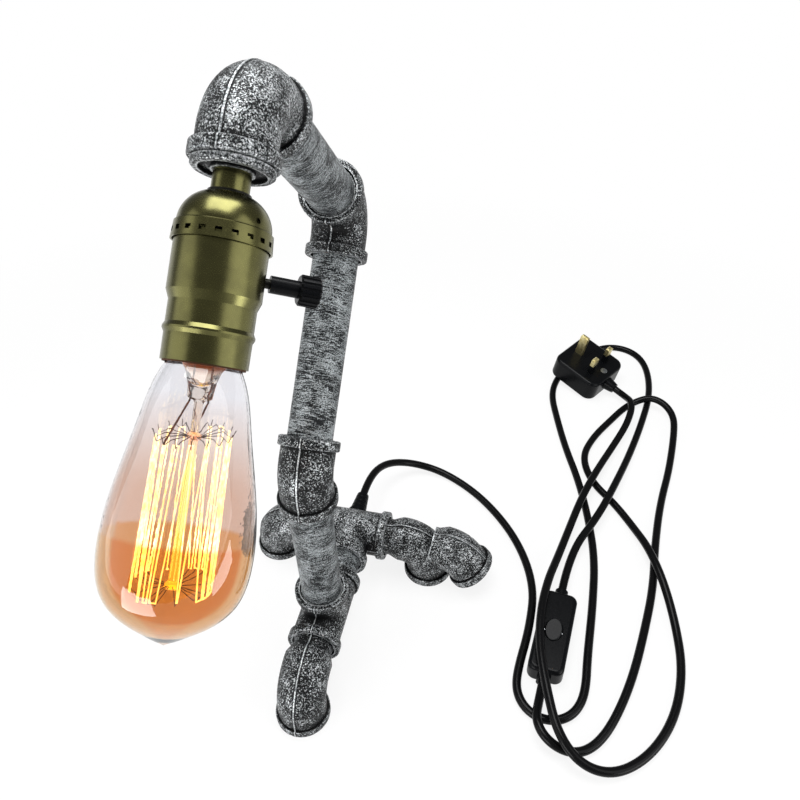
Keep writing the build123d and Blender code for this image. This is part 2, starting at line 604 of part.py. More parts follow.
def bulb():
    shell_r = E27_OD / 2
    cap = standing(shell_r, E27_LENGTH) - Pos(0, 0, E27_WALL) * standing(shell_r - E27_WALL, E27_LENGTH)
    cap -= standing(shell_r - BULB_INSULATOR_H, E27_WALL)
    insulator = Cone(BULB_INSULATOR_R, shell_r - BULB_INSULATOR_H / 2, BULB_INSULATOR_H,
                     align=(Align.CENTER, Align.CENTER, Align.MIN))
    tip_depth = BULB_INSULATOR_H / 2
    insulator -= standing(BULB_CONTACT_R, tip_depth)

    cage_top = RIM + CAGE_TOP - GLASS_TOP
    cage_foot = cage_top + CAGE_LENGTH
    stem = standing(STEM_R, STEM_LENGTH) + standing(BULB_NECK_R - GLASS_WALL - CONTACT_GAP, GLASS_WALL)
    stem -= standing(STEM_R - GLASS_WALL, STEM_LENGTH - STEM_R)
    stem += Pos(0, 0, STEM_LENGTH) * standing(ROD_GLASS_R, cage_foot + ROD_GLASS_R - STEM_LENGTH)
    strand_tops, strand_feet, spokes = [], [], []
    for turn in range(STRANDS):
        angle = 2 * pi / STRANDS * turn
        radial = Vector(cos(angle), sin(angle), 0)
        strand_tops.append(radial * CAGE_TOP_R + Z * cage_top)
        strand_feet.append(radial * CAGE_FOOT_R + Z * cage_foot)
        for radius, height in ((CAGE_TOP_R, cage_top), (CAGE_FOOT_R, cage_foot)):
            start = radial * ROD_GLASS_R + Z * height
            spokes.append(fine_wire(start, radial * (radius - 2 * STRAND_R) + Z * height, SUPPORT_R))
    strands = [fine_wire(top, foot, STRAND_R) for top, foot in zip(strand_tops, strand_feet)]
    from_neck = {"bulb_glass": envelope(), "glass_stem": stem,
                 "filament": Compound(strands), "support_wires": Compound(spokes)}
    shapes = placed(from_neck, Pos(0, 0, GLASS_TOP))
    shapes["bulb_cap"] = Pos(0, 0, BULB_CAP_TOP) * cap
    shapes["bulb_insulator"] = Pos(0, 0, CONTACT_TIP) * insulator
    shapes["bulb_contact"] = Pos(0, 0, CONTACT_TIP) * standing(BULB_CONTACT_R, tip_depth)
    return shapes


def fine_wire(start, end, radius):
    """Straight wire too thin to need a round section"""
    along = Plane(origin=start, z_dir=end - start)
    return extrude(along * Rectangle(2 * radius, 2 * radius), (end - start).length)


# ---------------------------------------------------------------- flex inside the pipes
# one length for each turning part
def flex(points):
    path = FilletPolyline(*points, radius=FLEX_BEND) if len(points) > 2 else Line(*points)
    return round_bar(path, FLEX_OD)


def flexes():
    riser_joint = FRONT_TEE_AT + Z * TEE_REACH
    upper_joint = UPPER_AT - POST_DIR * ELBOW_REACH
    head_joint = HEAD_AT - ARM_DIR * ELBOW_REACH
    rod_end = HEAD_AT - POST_DIR * (CAP_TOP + SHEET + ROD_NOSE)
    return {
        "flex_base": flex([GLAND_TIP_AT, FRONT_TEE_AT, riser_joint]),
        "flex_post": flex([riser_joint, BEND_AT, upper_joint]),
        "flex_arm": flex([upper_joint, UPPER_AT, head_joint]),
        "flex_head": flex([head_joint, HEAD_AT, rod_end]),
    }


# ---------------------------------------------------------------- gland and the tee behind
def gland_parts():
    """Strain relief; Z = 0 is its seat on the tee and it points up"""
    tail_length = GLAND_SEAT - GLAND_NUT_AT + GLAND_NUT_THICK
    gland = standing(GLAND_BASE_OD / 2, GLAND_COLLAR)
    gland += Pos(0, 0, GLAND_COLLAR) * Cone(
        GLAND_CONE_OD / 2, GLAND_TIP_OD / 2, GLAND_LENGTH - GLAND_COLLAR,
        align=(Align.CENTER, Align.CENTER, Align.MIN))
    for rise in range(1, GLAND_GROOVES + 1):
        share = rise / (GLAND_GROOVES + 1)
        place = GLAND_COLLAR + (GLAND_LENGTH - GLAND_COLLAR) * share
        radius = (GLAND_CONE_OD - (GLAND_CONE_OD - GLAND_TIP_OD) * share) / 2
        gland -= Pos(0, 0, place) * Torus(radius + GLAND_GROOVE_R / 2, GLAND_GROOVE_R)
    gland += Pos(0, 0, -tail_length) * standing(GLAND_TAIL_OD / 2, tail_length)
    gland -= Pos(0, 0, -tail_length) * standing(FLEX_OD / 2 + THREAD_FIT, tail_length + GLAND_LENGTH)
    nut = hexagon_nut(GLAND_NUT_FLATS, GLAND_NUT_THICK, GLAND_TAIL_OD + 2 * THREAD_FIT)
    return {"cable_gland": gland, "gland_nut": Pos(0, 0, GLAND_NUT_AT - GLAND_SEAT - GLAND_NUT_THICK) * nut}


def rear_tee():
    """Tee with its branch to the front, and a flat with a hole for the gland at its back"""
    shape = Plane(REAR_TEE_AT, x_dir=X, z_dir=-BACK) * tee()
    flat = facing(BACK, GLAND_SEAT, REAR_TEE_AT) * standing(GLAND_FLAT_OD / 2, BODY_OD)
    hole = facing(BACK, 0, REAR_TEE_AT) * standing(GLAND_TAIL_OD / 2 + THREAD_FIT, BODY_OD)
    return shape - flat - hole


# ---------------------------------------------------------------- inline switch; X along the cord to the plug
def switch_case():
    """Outside of both halves together"""
    height = SWITCH_BASE_H + SWITCH_COVER_H
    case = standing_box(SWITCH_LENGTH, SWITCH_WIDTH, height)
    case = fillet(case.edges().filter_by(Axis.Z), SWITCH_CORNER)
    case = fillet(case.edges().group_by(Axis.Z)[-1], SWITCH_TOP_ROUND)
    case = fillet(case.edges().group_by(Axis.Z)[0], SWITCH_FOOT_ROUND)
    spout = Cylinder(SWITCH_SPOUT_OD / 2, SWITCH_LENGTH + 2 * SWITCH_SPOUT)
    return case + Pos(0, 0, SWITCH_RISE) * Rot(0, 90, 0) * spout


def switch_parts():
    height = SWITCH_BASE_H + SWITCH_COVER_H
    inner_length, inner_width = SWITCH_LENGTH - 2 * SWITCH_WALL, SWITCH_WIDTH - 2 * SWITCH_WALL
    hollow = Pos(0, 0, SWITCH_WALL) * standing_box(inner_length, inner_width, height - 2 * SWITCH_WALL)
    hollow = fillet(hollow.edges().filter_by(Axis.Z), SWITCH_CORNER - SWITCH_WALL)
    way = Pos(0, 0, SWITCH_RISE) * Rot(0, 90, 0) * Cylinder(CORE_WAY / 2, SWITCH_LENGTH + 2 * SWITCH_SPOUT)
    at_screws = [Pos(side * SWITCH_SCREW_AT[0], side * SWITCH_SCREW_AT[1], 0) for side in (-1, 1)]
    for place in at_screws:
        hollow -= place * standing(SWITCH_POST_R, height)
    case = switch_case() - hollow - way
    shank_r, head_r = SWITCH_SCREW_OD / 2, SWITCH_SCREW_HEAD_OD / 2
    for place in at_screws:
        case -= place * standing(head_r + THREAD_FIT, SWITCH_SCREW_HEAD_H)
        case -= place * standing(shank_r + THREAD_FIT, SWITCH_SCREW_HEAD_H + SWITCH_SCREW_LENGTH)

    axle_at = Pos(0, 0, height - ROCKER_AXLE_DROP) * Rot(90, 0, 0)
    window = Ellipse(ROCKER_LENGTH / 2 + ROCKER_GAP, ROCKER_WIDTH / 2 + ROCKER_GAP)
    case -= Pos(0, 0, height - 2 * SWITCH_WALL) * extrude(window, 3 * SWITCH_WALL)
    lug_at = ROCKER_WIDTH / 2 + ROCKER_GAP + LUG_THICK / 2
    for side in (-1, 1):
        lug = standing_box(LUG_WIDTH, LUG_THICK, LUG_DEPTH + SWITCH_WALL / 2)
        case += Pos(0, side * lug_at, height - SWITCH_WALL - LUG_DEPTH) * lug
    axle_length = 2 * (lug_at + LUG_THICK / 2)
    case -= axle_at * Cylinder(ROCKER_AXLE_OD / 2 + PIN_CLEAR, axle_length)
    upper = Pos(0, 0, SWITCH_BASE_H) * standing_box(2 * SWITCH_LENGTH, 2 * SWITCH_WIDTH, height)

    rocker = Pos(0, 0, height - ROCKER_DEPTH) * extrude(
        Ellipse(ROCKER_LENGTH / 2, ROCKER_WIDTH / 2), ROCKER_DEPTH + ROCKER_RISE)
    rocker = fillet(rocker.edges().group_by(Axis.Z)[-1], ROCKER_ROUND)
    rocker -= axle_at * Cylinder(ROCKER_AXLE_OD / 2 + THREAD_FIT, ROCKER_WIDTH)
    pivot = Vector(0, 0, height - ROCKER_AXLE_DROP)
    rocker = Location(pivot) * Rot(0, ROCKER_TILT, 0) * Location(-pivot) * rocker

    screw = standing(head_r, SWITCH_SCREW_HEAD_H)
    screw += Pos(0, 0, SWITCH_SCREW_HEAD_H) * standing(shank_r, SWITCH_SCREW_LENGTH)
    screw -= Box(SWITCH_SCREW_HEAD_OD, SCREW_SLOT, 2 * SCREW_SLOT)
    block = standing_box(*TERMINAL_BLOCK)
    return {
        "switch_base": case - upper,
        "switch_cover": case & upper,
        "rocker": rocker,
        "rocker_axle": axle_at * Cylinder(ROCKER_AXLE_OD / 2, axle_length),
        "switch_screws": Compound([place * screw for place in at_screws]),
        "switch_terminals": Compound([Pos(side * TERMINAL_BLOCK_AT, 0, SWITCH_WALL) * block
                                      for side in (-1, 1)]),
    }


def switch_place():
    return Plane(Vector(*SWITCH_AT, 0), x_dir=SWITCH_DIR, z_dir=Z).location


# ---------------------------------------------------------------- plug; X towards its cord, Z out of its pins
def plug_pin(size, shows, sleeved):
    """Flat pin; Z = 0 is the face of the plug"""
    pin = Pos(0, 0, -PIN_ROOT) * standing_box(*size, PIN_ROOT + shows)
    pin = chamfer(pin.edges().group_by(Axis.Z)[-1], PIN_CHAMFER)
    if sleeved:
        sleeve = standing_box(*size, PIN_SLEEVE_LENGTH)
        pin -= sleeve - pin_neck(size)
    return pin


def pin_neck(size):
    return standing_box(*[side - 2 * PIN_SLEEVE_WALL for side in size], PIN_SLEEVE_LENGTH)


def plug_parts():
    body = standing_box(PLUG_SIDE, PLUG_SIDE, PLUG_H)
    body = fillet(body.edges().filter_by(Axis.Z), PLUG_CORNER)
    body = fillet(body.edges().group_by(Axis.Z)[-1], PLUG_ROUND)
    body = fillet(body.edges().group_by(Axis.Z)[0], PLUG_ROUND)
    inner = PLUG_SIDE - 2 * PLUG_WALL
    hollow = Pos(0, 0, PLUG_WALL) * standing_box(inner, inner, PLUG_H - PLUG_WALL - PLUG_FACE)
    hollow = fillet(hollow.edges().filter_by(Axis.Z), PLUG_CORNER - PLUG_WALL)
    post = Pos(PLUG_SCREW_AT, 0, 0) * standing(PLUG_SCREW_HEAD_OD / 2 + PLUG_WALL / 2, PLUG_H - PLUG_FACE)
    body -= hollow - post

    boot_at = Pos(PLUG_SIDE / 2, 0, BOOT_RISE) * Rot(0, 90, 0)
    boot = Cone(BOOT_OD / 2, BOOT_TIP_OD / 2, BOOT_LENGTH, align=(Align.CENTER, Align.CENTER, Align.MIN))
    boot += Pos(0, 0, -PLUG_WALL) * standing(BOOT_TENON_OD / 2, PLUG_WALL)
    body -= boot_at * Pos(0, 0, -PLUG_WALL) * standing(BOOT_TENON_OD / 2 + PIN_CLEAR, PLUG_WALL)
    boot -= Pos(0, 0, -PLUG_WALL) * standing(CORE_WAY / 2, PLUG_WALL + BOOT_LENGTH)

    earth_at = Pos(LINE_PIN_AT - PIN_TO_EARTH, 0, PLUG_H)
    line_at = [Pos(LINE_PIN_AT, side * PIN_SPREAD / 2, PLUG_H) for side in (-1, 1)]
    for place, size in [(earth_at, EARTH_PIN_SIZE)] + [(place, LINE_PIN_SIZE) for place in line_at]:
        hole = standing_box(*[side + 2 * PIN_CLEAR for side in size], PLUG_FACE)
        body -= place * Pos(0, 0, -PLUG_FACE) * hole
    carrier_hole = standing_box(*[side + 2 * CARRIER_GAP for side in CARRIER_SIZE], PLUG_FACE)
    body -= Pos(CARRIER_AT, 0, PLUG_H - PLUG_FACE) * carrier_hole

    screw_at = Pos(PLUG_SCREW_AT, 0, PLUG_H)
    screw = Pos(0, 0, -SWITCH_SCREW_HEAD_H) * standing(PLUG_SCREW_HEAD_OD / 2, SWITCH_SCREW_HEAD_H)
    screw += Pos(0, 0, -PLUG_SCREW_LENGTH) * standing(PLUG_SCREW_OD / 2, PLUG_SCREW_LENGTH)
    screw_way = Pos(0, 0, -SWITCH_SCREW_HEAD_H) * standing(PLUG_SCREW_HEAD_OD / 2 + THREAD_FIT, PLUG_H)
    screw_way += Pos(0, 0, -PLUG_SCREW_LENGTH) * standing(PLUG_SCREW_OD / 2 + THREAD_FIT, PLUG_SCREW_LENGTH)
    body -= screw_at * screw_way
    screw -= Box(PLUG_SCREW_HEAD_OD, SCREW_SLOT, 2 * SCREW_SLOT)
    lower = standing_box(2 * PLUG_SIDE, 2 * PLUG_SIDE, PLUG_COVER_H)

    fuse_at = Pos(CARRIER_AT, 0, PLUG_H - CARRIER_DEPTH + FUSE_OD / 2 - 2 * FUSE_CLEAR)
    tray = [FUSE_OD + 2 * FUSE_CLEAR, FUSE_LENGTH + 2 * FUSE_CLEAR]
    carrier = standing_box(*CARRIER_SIZE, CARRIER_DEPTH) - standing_box(*tray, FUSE_OD)
    contact = standing_box(*FUSE_CONTACT)
    contact_z = PLUG_H - CARRIER_DEPTH - 3 * FUSE_CLEAR - FUSE_CONTACT[2]
    contact_y = FUSE_LENGTH / 2 - FUSE_CONTACT[1] / 2
    sleeve = standing_box(*LINE_PIN_SIZE, PIN_SLEEVE_LENGTH) - pin_neck(LINE_PIN_SIZE)
    return {
        "plug_base": body - lower,
        "plug_cover": body & lower,
        "earth_pin": earth_at * plug_pin(EARTH_PIN_SIZE, EARTH_PIN_SHOWS, False),
        "neutral_pin": line_at[0] * plug_pin(LINE_PIN_SIZE, LINE_PIN_SHOWS, True),
        "live_pin": line_at[1] * plug_pin(LINE_PIN_SIZE, LINE_PIN_SHOWS, True),
        "pin_sleeves": Compound([place * sleeve for place in line_at]),
        "plug_screw": screw_at * screw,
        "fuse_carrier": Pos(CARRIER_AT, 0, PLUG_H - CARRIER_DEPTH) * carrier,
        "fuse": fuse_at * Rot(90, 0, 0) * Cylinder(FUSE_OD / 2, FUSE_LENGTH),
        "fuse_contacts": Compound([Pos(CARRIER_AT, side * contact_y, contact_z) * contact
                                   for side in (-1, 1)]),
        "plug_boot": boot_at * boot,
    }


def plug_place():
    """The plug lies on its back, tipped about the edge below its boot"""
    flat = Plane(Vector(*PLUG_AT, 0), x_dir=PLUG_DIR, z_dir=Z).location
    edge = Vector(PLUG_SIDE / 2 - PLUG_ROUND, 0, PLUG_ROUND)
    return flat * Location(edge) * Rot(0, PLUG_TILT, 0) * Location(-edge)


# ---------------------------------------------------------------- cords
def cord(name, points):
    """Tube along straight runs and the largest tangent arcs that they allow"""
    points = [Vector(*point) for point in points]
    runs = [after - before for before, after in zip(points, points[1:])]
    radii = []
    for before, after in zip(runs, runs[1:]):
        half_turn = radians(before.get_angle(after) / 2)
        radii.append(ARC_SHARE * min(before.length, after.length) / tan(half_turn))
    path = FilletPolyline(*points, radius=radii)
    tube = round_bar(path, CORD_OD)
    ratio = tube.volume / (pi * CORD_OD ** 2 / 4 * path.length)
    print(name, f"length {path.length:.0f} mm, volume against section x length {ratio:.5f}, radii",
          " ".join(f"{radius:.0f}" for radius in radii))
    return tube


def cords():
    switch, plug = switch_place(), plug_place()
    spout_end = SWITCH_LENGTH / 2 + SWITCH_SPOUT

    def on_axis(place, distance, rise):
        return tuple((place * Pos(distance, 0, rise)).position)

    boot_end = PLUG_SIDE / 2 + BOOT_LENGTH
    from_gland = [tuple(GLAND_TIP_AT), tuple(GLAND_TIP_AT + BACK * GLAND_RUN)]
    into_switch = [on_axis(switch, -spout_end - SWITCH_IN_RUN, SWITCH_RISE),
                   on_axis(switch, -spout_end, SWITCH_RISE)]
    from_switch = [on_axis(switch, spout_end, SWITCH_RISE),
                   on_axis(switch, spout_end + SWITCH_OUT_RUN, SWITCH_RISE)]
    into_plug = [on_axis(plug, boot_end + PLUG_RUN, BOOT_RISE), on_axis(plug, boot_end, BOOT_RISE)]
    return {
        "lamp_cord": cord("lamp_cord", from_gland + LAMP_CORD_ROUTE + into_switch),
        "plug_cord": cord("plug_cord", from_switch + PLUG_CORD_ROUTE + into_plug),
    }


# ---------------------------------------------------------------- the whole lamp
def base_parts():
    elbow = street_elbow(90, ELBOW_REACH, STREET_NECK, ENGAGEMENT)
    feet = {
        "front_foot_elbow": (FRONT_TEE_AT - BACK * FOOT_OFFSET, BACK),
        "left_foot_elbow": (REAR_TEE_AT - X * FOOT_OFFSET, X),
        "right_foot_elbow": (REAR_TEE_AT + X * FOOT_OFFSET, -X),
    }
    shapes = {name: Plane(place, x_dir=toward, z_dir=Z) * elbow for name, (place, toward) in feet.items()}
    shapes["front_tee"] = Plane(FRONT_TEE_AT, x_dir=BACK, z_dir=Z) * tee()
    shapes["base_nipple"] = facing(BACK, TEE_REACH, FRONT_TEE_AT) * pipe(NIPPLE_SHOWS)
    shapes["rear_tee"] = rear_tee()
    shapes["right_outer_elbow"] = outer_elbow()
    shapes.update(placed(gland_parts(), facing(BACK, GLAND_SEAT, REAR_TEE_AT)))
    return shapes


def outer_elbow():
    """Second fitting at the right, brazed on the heel of the right foot"""
    level = Vector(cos(radians(OUTRIGGER_TURN)), sin(radians(OUTRIGGER_TURN)), 0)

    def dipping(angle):
        return level * cos(radians(angle)) - Z * sin(radians(angle))

    right_foot = REAR_TEE_AT + X * FOOT_OFFSET
    centre = right_foot + dipping(OUTRIGGER_DIP) * BEND45_REACH
    down = dipping(OUTRIGGER_DIP + OUTRIGGER_BEND)
    toward = dipping(OUTRIGGER_DIP + OUTRIGGER_BEND + 90)
    shape = Plane(centre, x_dir=toward, z_dir=-down) * street_elbow(
        OUTRIGGER_BEND, BEND45_REACH, BEND45_REACH - BRAZE_DEPTH, 0)
    foot_skin = street_skin(90, ELBOW_REACH, STREET_NECK, SEAM_HEIGHT) + facing(-Z, ELBOW_REACH) * band()
    shape -= Plane(right_foot, x_dir=-X, z_dir=Z) * foot_skin
    return shape.solids().sort_by(SortBy.VOLUME)[-1]


def stand_parts():
    riser_mouth = FRONT_TEE_AT + Z * TEE_REACH
    return {
        "riser_pipe": facing(Z, 0, riser_mouth) * pipe(RISER_SHOWS),
        "riser_bend": Plane(BEND_AT, x_dir=BACK, z_dir=Z) * bend_fitting(LEAN, BEND45_REACH),
        "post_pipe": facing(POST_DIR, BEND45_REACH, BEND_AT) * pipe(POST_SHOWS),
        "upper_elbow": Plane(UPPER_AT, x_dir=ARM_DIR, z_dir=POST_DIR) * bend_fitting(90, ELBOW_REACH),
        "arm_pipe": facing(ARM_DIR, ELBOW_REACH, UPPER_AT) * pipe(ARM_SHOWS),
        "head_elbow": Plane(HEAD_AT, x_dir=-POST_DIR, z_dir=ARM_DIR) * bend_fitting(90, ELBOW_REACH),
    }


def head_parts():
    shapes = head_hardware()
    shapes["lampholder_cap"] = lampholder_cap()
    shapes["lampholder_shell"] = lampholder_shell()
    shapes["insulating_liner"] = insulating_liner()
    shapes["lead_wires"] = leads()
    shapes.update(holder_inside())
    shapes.update(placed(knob_parts(), knob_place()))
    shapes.update(bulb())
    return placed(shapes, Plane(HEAD_AT, x_dir=X, z_dir=-POST_DIR).location)


def main():
    lamp = base_parts() | stand_parts() | head_parts() | flexes()
    on_cord = placed(switch_parts(), switch_place()) | placed(plug_parts(), plug_place()) | cords()
    box = Compound(list(lamp.values())).bounding_box()
    middle = Vector((box.min.X + box.max.X) / 2, (box.min.Y + box.max.Y) / 2, 0)
    os.makedirs("parts", exist_ok=True)
    for name, shape in (lamp | on_cord).items():
        export_step(Location(-middle) * shape, f"parts/{name}.step")
    print("moved by", tuple(-middle), "foot of the lamp", box.min.Z)


main()
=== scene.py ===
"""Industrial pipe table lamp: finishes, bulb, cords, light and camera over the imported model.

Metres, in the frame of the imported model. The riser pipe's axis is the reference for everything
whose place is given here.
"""
import json
from math import cos, radians, sin, tau

import bmesh
import bpy
from mathutils import Matrix, Vector


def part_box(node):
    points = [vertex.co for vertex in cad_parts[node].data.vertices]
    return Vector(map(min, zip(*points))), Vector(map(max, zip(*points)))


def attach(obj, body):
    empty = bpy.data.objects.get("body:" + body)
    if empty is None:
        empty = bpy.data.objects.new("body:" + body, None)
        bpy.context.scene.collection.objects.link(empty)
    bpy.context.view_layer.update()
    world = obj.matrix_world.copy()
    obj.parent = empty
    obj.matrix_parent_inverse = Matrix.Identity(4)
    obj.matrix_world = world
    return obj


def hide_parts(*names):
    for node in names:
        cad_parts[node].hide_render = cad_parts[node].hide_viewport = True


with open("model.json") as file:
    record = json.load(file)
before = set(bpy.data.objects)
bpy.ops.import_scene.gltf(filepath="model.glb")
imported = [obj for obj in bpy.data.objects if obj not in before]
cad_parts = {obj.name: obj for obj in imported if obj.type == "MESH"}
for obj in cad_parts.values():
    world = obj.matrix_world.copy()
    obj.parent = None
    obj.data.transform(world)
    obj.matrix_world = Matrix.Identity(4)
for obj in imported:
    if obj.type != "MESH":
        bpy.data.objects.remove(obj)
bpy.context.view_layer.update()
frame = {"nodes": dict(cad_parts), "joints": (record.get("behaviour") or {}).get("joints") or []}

MM = 0.001
NODES = frame["nodes"]
JOINTS = {joint["name"]: joint for joint in frame["joints"]}
SIDEWAYS = Vector((1, 0, 0))
BACKWARDS = Vector((0, 1, 0))
UPWARDS = Vector((0, 0, 1))


def middle(node):
    low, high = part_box(node)
    return (Vector(low) + Vector(high)) / 2


RISER = Vector((middle("riser_pipe").x, middle("riser_pipe").y, 0))
POST_DIR = Vector(JOINTS["arm_swing"]["axis"])
ARM_DIR = Vector(JOINTS["head_turn"]["axis"])
HOLDER_DIR = Vector(JOINTS["bulb_out"]["axis"])


def at(x, y, z):
    """A point given in millimetres from the foot of the riser's axis"""
    return RISER + Vector((x, y, z)) * MM


REAR_TEE = at(0, 71.5, 31)


def put(name, data):
    """Puts a new object with that data into the scene"""
    piece = bpy.data.objects.new(name, data)
    bpy.context.scene.collection.objects.link(piece)
    return piece


# ---------------------------------------------------------------- camera
CAMERA_AT = (125.7, -281.0, 509.5)
CAMERA_AZIMUTH = 13.5
CAMERA_ELEVATION = 42.7
CAMERA_ROLL = -1.5
SENSOR_WIDTH = 36
LENS_SHARE = 775.2 / 800        # focal length as a share of the frame's width
NEAREST_SEEN = 0.01


def make_camera():
    azimuth, elevation, roll = (radians(a) for a in (CAMERA_AZIMUTH, CAMERA_ELEVATION, CAMERA_ROLL))
    back = Vector((sin(azimuth) * cos(elevation), -cos(azimuth) * cos(elevation), sin(elevation)))
    right = (-back).cross(UPWARDS).normalized()
    up = right.cross(-back)
    rolled_up = up * cos(roll) - right * sin(roll)
    rolled_right = right * cos(roll) + up * sin(roll)
    turn = Matrix((rolled_right, rolled_up, back)).transposed().to_4x4()
    data = bpy.data.cameras.new("camera")
    data.sensor_width = SENSOR_WIDTH
    data.lens = SENSOR_WIDTH * LENS_SHARE
    data.clip_start = NEAREST_SEEN
    camera = put("camera", data)
    camera.matrix_world = Matrix.Translation(at(*CAMERA_AT)) @ turn
    bpy.context.scene.camera = camera


# ---------------------------------------------------------------- materials
FIRST_COLOUR, SECOND_COLOUR, MIXED_COLOUR = 6, 7, 2     # the Mix node's sockets for colours
OPENNESS_SAMPLES = 8


def colour(text):
    """Linear colour of an sRGB hex value"""
    values = [int(text[i:i + 2], 16) / 255 for i in (1, 3, 5)]
    return [v / 12.92 if v <= 0.04045 else ((v + 0.055) / 1.055) ** 2.4 for v in values] + [1]


def feed(tree, node, inputs):
    """Gives each named socket its value, or the output that feeds it"""
    for socket, value in inputs.items():
        if isinstance(value, bpy.types.NodeSocket):
            tree.links.new(value, node.inputs[socket])
        else:
            node.inputs[socket].default_value = value


def add(tree, kind, inputs=None, **settings):
    """Adds a node with its settings and its inputs"""
    node = tree.nodes.new("ShaderNode" + kind)
    for name, value in settings.items():
        setattr(node, name, value)
    feed(tree, node, inputs or {})
    return node


def blank_material(name):
    material = bpy.data.materials.new(name)
    material.use_nodes = True
    tree = material.node_tree
    shader = tree.nodes["Principled BSDF"]
    place = add(tree, "TexCoord").outputs["Object"]
    return material, tree, shader, place


def wear(*objects, material):
    """Gives the objects that one material"""
    for piece in objects:
        piece.data.materials.clear()
        piece.data.materials.append(material)
        for face in getattr(piece.data, "polygons", []):
            face.material_index = 0


def ramp(tree, fac, low, high, start=0.0, end=1.0):
    """Value that goes from start to end as fac goes from low to high"""
    return add(tree, "MapRange", {"Value": fac, "From Min": low, "From Max": high,
                                  "To Min": start, "To Max": end}).outputs[0]


def mix(tree, fac, first, second):
    """Colour that goes from the first to the second as fac goes from 0 to 1"""
    colours = {"Factor": fac, FIRST_COLOUR: first, SECOND_COLOUR: second}
    return add(tree, "Mix", colours, data_type="RGBA").outputs[MIXED_COLOUR]


def noise(tree, place, size, detail=2.0, roughness=0.5):
    """Noise whose grains are about size metres across"""
    return add(tree, "TexNoise", {"Vector": place, "Scale": 1 / size, "Detail": detail,
                                  "Roughness": roughness}).outputs["Fac"]


def maths(tree, operation, *values):
    return add(tree, "Math", dict(enumerate(values)), operation=operation).outputs[0]


def distance_along(tree, place, origin, direction):
    """How far a place lies from the origin along the direction"""
    local = add(tree, "VectorMath", {0: place, 1: origin}, operation="SUBTRACT").outputs[0]
    return add(tree, "VectorMath", {0: local, 1: direction}, operation="DOT_PRODUCT").outputs["Value"]


def openness(tree, distance, inside=False):
    """Low in the corners within that distance; looked at from inside, low at the outer edges"""
    return add(tree, "AmbientOcclusion", {"Distance": distance}, samples=OPENNESS_SAMPLES,
               inside=inside, only_local=True).outputs["AO"]


def relief(tree, height, strength, depth):
    return add(tree, "Bump", {"Height": height, "Strength": strength, "Distance": depth}).outputs[0]


def brushed_casting(name, seam, painted_light_level, grain_size):
    """Malleable iron casting, painted black and dry-brushed with silver: the brush catches the grain,
    the bands' edges and the mould seam. The corners are left black, partly because the brush misses
    them and partly as painted shade, and a band beside the seam is darkened as painted shade. The seam
    is given as a point of the parting plane and its normal; a higher level of painted light leaves
    more silver on the piece, and a lower one less, as painted shade."""
    material, tree, shader, place = blank_material("dry_brushed_malleable_iron_" + name)
    grain = noise(tree, place, grain_size, 3, 0.75)
    patches = noise(tree, place, 9 * MM, 3, 0.6)
    # painted shade: less silver in the corners within 9 mm, where the brush also reaches least
    corner = openness(tree, 9 * MM)
    edge = ramp(tree, openness(tree, 1.5 * MM, inside=True), 0.85, 0.55)
    more_on_a_ridge = 0.26
    # painted shade: a darker band on each side of the mould seam
    painted_shade_beside_the_seam = -0.1
    reach = maths(tree, "ADD", ramp(tree, patches, 0.32, 0.68, -0.06, 0.05),
                  ramp(tree, corner, 0.4, 0.97, -0.22, 0.0))
    reach = maths(tree, "MULTIPLY_ADD", edge, more_on_a_ridge, reach)
    if seam:
        aside = maths(tree, "ABSOLUTE", distance_along(tree, place, *seam))
        ridge = ramp(tree, aside, 0.42 * MM, 0.25 * MM)
        # painted shade beside the seam's ridge
        beside = ramp(tree, aside, 1.6 * MM, 0.6 * MM)
        reach = maths(tree, "MULTIPLY_ADD", ridge, more_on_a_ridge, reach)
        reach = maths(tree, "MULTIPLY_ADD", beside, painted_shade_beside_the_seam, reach)
    # the piece's level leaves more silver where it stands for painted light, less where it stands for
    # painted shade
    silvered = ramp(tree, maths(tree, "ADD", grain, reach), 0.51 - painted_light_level, 0.57 - painted_light_level)
    bright = noise(tree, place, 0.9 * MM, 3, 0.6)
    silver = mix(tree, ramp(tree, bright, 0.38, 0.62), colour("#4b5052"), colour("#dde1e3"))
    feed(tree, shader, {
        "Base Color": mix(tree, silvered, colour("#08090a"), silver),
        "Metallic": maths(tree, "MULTIPLY", silvered, 0.45),
        "Roughness": ramp(tree, silvered, 0, 1, 0.5, 0.36),
        "Specular IOR Level": 0.15,
        "Normal": relief(tree, grain, 0.7, 0.35 * MM)})
    return material


